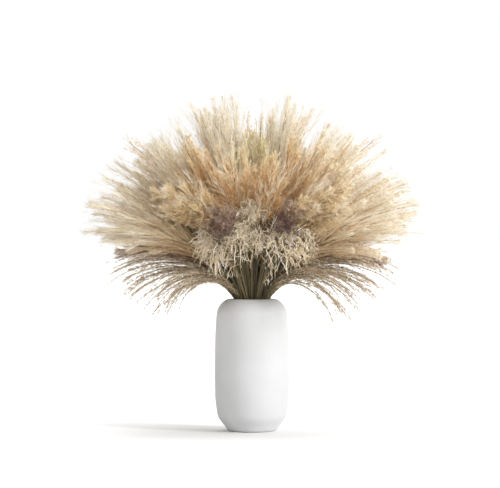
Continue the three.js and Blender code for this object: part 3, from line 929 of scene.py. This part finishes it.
# ------------------------------------------------------------------------ vase
OUTSIDE = [
    (0.0, 0.9), (20.0, 0.9), (27.0, 0.7), (28.6, 0.0), (30.3, 0.0), (34.6, 0.6), (37.6, 2.6), (39.6, 5.2), (42.6, 9.8), (47.7, 15.9),
    (51.5, 22.7), (53.9, 35.3), (55.6, 50.8), (56.2, 80), (56.2, 105), (55.4, 147), (54.3, 168), (53.0, 180),
    (50.6, 187), (46.8, 192.6), (42.0, 197), (38.0, 199.3), (34.8, 200.0),
    (32.2, 199.8), (31.0, 198.2), (31.0, 195.4), (34.5, 192.6), (40.5, 189.2), (45.6, 183), (48.2, 172),
    (49.6, 147), (50.4, 105), (50.2, 70), (49.2, 44), (47.0, 29), (41.0, 16), (32.0, 9.6), (20.0, 8.0), (0.0, 8.0),
]


def make_vase():
    """A turned shell: the same profile as the solid's, smoothed, with a shallow hollow under the foot."""
    p = np.array(OUTSIDE, float)
    chord = np.concatenate([[0], np.cumsum(np.linalg.norm(np.diff(p, axis=0), axis=1) ** 0.5)])
    fine = []
    for i in range(len(p) - 1):
        a, b = max(i - 1, 0), min(i + 2, len(p) - 1)
        m0 = (p[i + 1] - p[a]) / (chord[i + 1] - chord[a])
        m1 = (p[b] - p[i]) / (chord[b] - chord[i])
        h = chord[i + 1] - chord[i]
        for t in np.linspace(0, 1, 7)[:-1]:
            q = (
                (2 * t**3 - 3 * t**2 + 1) * p[i]
                + (t**3 - 2 * t**2 + t) * h * m0
                + (-2 * t**3 + 3 * t**2) * p[i + 1]
                + (t**3 - t**2) * h * m1
            )
            fine.append(q)
    fine.append(p[-1])
    fine = np.array(fine)
    fine[:, 1] = np.clip(fine[:, 1], 0, 200)
    fine[:, 0] = np.clip(fine[:, 0], 0, None)
    inner = fine[1:-1]
    seg = 160
    a = np.arange(seg) * 2 * np.pi / seg
    rings = np.stack([inner[:, 0, None] * np.cos(a), inner[:, 0, None] * np.sin(a), np.repeat(inner[:, 1, None], seg, 1)], -1)
    verts = np.vstack([rings.reshape(-1, 3), [[0, 0, fine[0, 1]]], [[0, 0, fine[-1, 1]]]])
    k = len(inner)
    faces = []
    for i in range(k - 1):
        for j in range(seg):
            jn = (j + 1) % seg
            faces.append((i * seg + j, i * seg + jn, (i + 1) * seg + jn, (i + 1) * seg + j))
    for j in range(seg):
        jn = (j + 1) % seg
        faces.append((k * seg, jn, j))
        faces.append((k * seg + 1, (k - 1) * seg + j, (k - 1) * seg + jn))
    mesh = bpy.data.meshes.new("vase_shell")
    mesh.from_pydata((verts * MM).tolist(), [], faces)
    mesh.validate()
    mesh.polygons.foreach_set("use_smooth", np.ones(len(mesh.polygons), bool))
    mesh.materials.append(ceramic_material())
    vase = bpy.data.objects.new("vase_shell", mesh)
    bpy.context.scene.collection.objects.link(vase)
    return vase


vase = make_vase()
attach(vase, "root")
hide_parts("vase")

# ----------------------------------------------------------------- the bundle
total = 0
for family, (kind, rows) in enumerate(STALKS.items()):
    material = grass_material(kind)
    for i, row in enumerate(rows):
        node = f"{kind}_{i + 1:02d}"
        g = Growth(1000 * family + 17 * i + 5)
        MAKERS[kind](g, Path(row), i)
        piece = g.piece(node + "_strands", material)
        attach(piece, "root")
        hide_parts(node)
        total += g.triangles()
    print(f"{kind}: {len(rows)} pieces, last {g.triangles()} triangles")
print("triangles", total, flush=True)

# ---------------------------------------------------------------- floor, light
floor_mesh = bpy.data.meshes.new("floor")
floor_mesh.from_pydata([(-40, -40, 0), (40, -40, 0), (40, 40, 0), (-40, 40, 0)], [], [(0, 1, 2, 3)])
floor_material = bpy.data.materials.new("floor")
floor_material.use_nodes = True
floor_shader = floor_material.node_tree.nodes["Principled BSDF"]
floor_shader.inputs["Base Color"].default_value = (0.93, 0.93, 0.93, 1)
floor_shader.inputs["Roughness"].default_value = 0.9
floor_shader.inputs["Specular IOR Level"].default_value = 0.0
floor_mesh.materials.append(floor_material)
floor = bpy.data.objects.new("floor", floor_mesh)
bpy.context.scene.collection.objects.link(floor)

scene = bpy.context.scene
world = bpy.data.worlds.new("studio")
scene.world = world
world.use_nodes = True
wn, wl = world.node_tree.nodes, world.node_tree.links
wn.clear()
w_out = wn.new("ShaderNodeOutputWorld")
seen = wn.new("ShaderNodeBackground")
seen.inputs["Color"].default_value = (1, 1, 1, 1)
seen.inputs["Strength"].default_value = 1.0
lit = wn.new("ShaderNodeBackground")
coord = wn.new("ShaderNodeTexCoord")
slope = wn.new("ShaderNodeVectorMath")
slope.operation = "DOT_PRODUCT"
slope.inputs[1].default_value = (0.30, 0.26, 0.06)
wl.new(coord.outputs["Generated"], slope.inputs[0])
bright = wn.new("ShaderNodeMath")
bright.operation = "ADD"
bright.inputs[1].default_value = 0.68
wl.new(slope.outputs["Value"], bright.inputs[0])
wl.new(bright.outputs[0], lit.inputs["Strength"])
lit.inputs["Color"].default_value = (1, 0.995, 0.985, 1)
ray = wn.new("ShaderNodeLightPath")
pick = wn.new("ShaderNodeMixShader")
wl.new(ray.outputs["Is Camera Ray"], pick.inputs["Fac"])
wl.new(lit.outputs["Background"], pick.inputs[1])
wl.new(seen.outputs["Background"], pick.inputs[2])
wl.new(pick.outputs["Shader"], w_out.inputs["Surface"])


def sun(name, direction, strength, angle):
    """A lamp as wide as angle degrees that shines along direction."""
    data = bpy.data.lights.new(name, "SUN")
    data.energy = strength
    data.angle = math.radians(angle)
    lamp = bpy.data.objects.new(name, data)
    bpy.context.scene.collection.objects.link(lamp)
    from mathutils import Vector

    lamp.rotation_mode = "QUATERNION"
    lamp.rotation_quaternion = Vector(direction).to_track_quat("-Z", "Y")
    return lamp


sun("key", (-0.78, 0.48, -0.38), 1.9, 14)
sun("top", (-0.10, -0.12, -1.0), 1.5, 50)
sun("front", (-0.12, 0.97, -0.16), 0.75, 30)

# ---------------------------------------------------------------------- camera
PIXEL = 1.515 * MM  # at the vase's axis, in a picture 500 pixels wide
LENS = 180.0
cam_data = bpy.data.cameras.new("camera")
cam_data.lens = LENS
cam_data.sensor_width = 36.0
cam_data.sensor_fit = "HORIZONTAL"
cam = bpy.data.objects.new("camera", cam_data)
scene.collection.objects.link(cam)
scene.camera = cam
distance = 500 * PIXEL * LENS / 36.0
elevation = math.radians(0.4)
from mathutils import Vector

target = Vector(((250 - 251.9) * PIXEL, 0.0, (430.9 - 244) * PIXEL))
cam.location = target + Vector((0, -math.cos(elevation), math.sin(elevation))) * distance
cam.rotation_mode = "QUATERNION"
cam.rotation_quaternion = (target - cam.location).to_track_quat("-Z", "Y")
cam_data.clip_start, cam_data.clip_end = 0.05, 200

scene.view_settings.view_transform = "Standard"
scene.view_settings.look = "None"
scene.cycles.max_bounces = 8
scene.cycles.diffuse_bounces = 5
scene.cycles.use_denoising = True
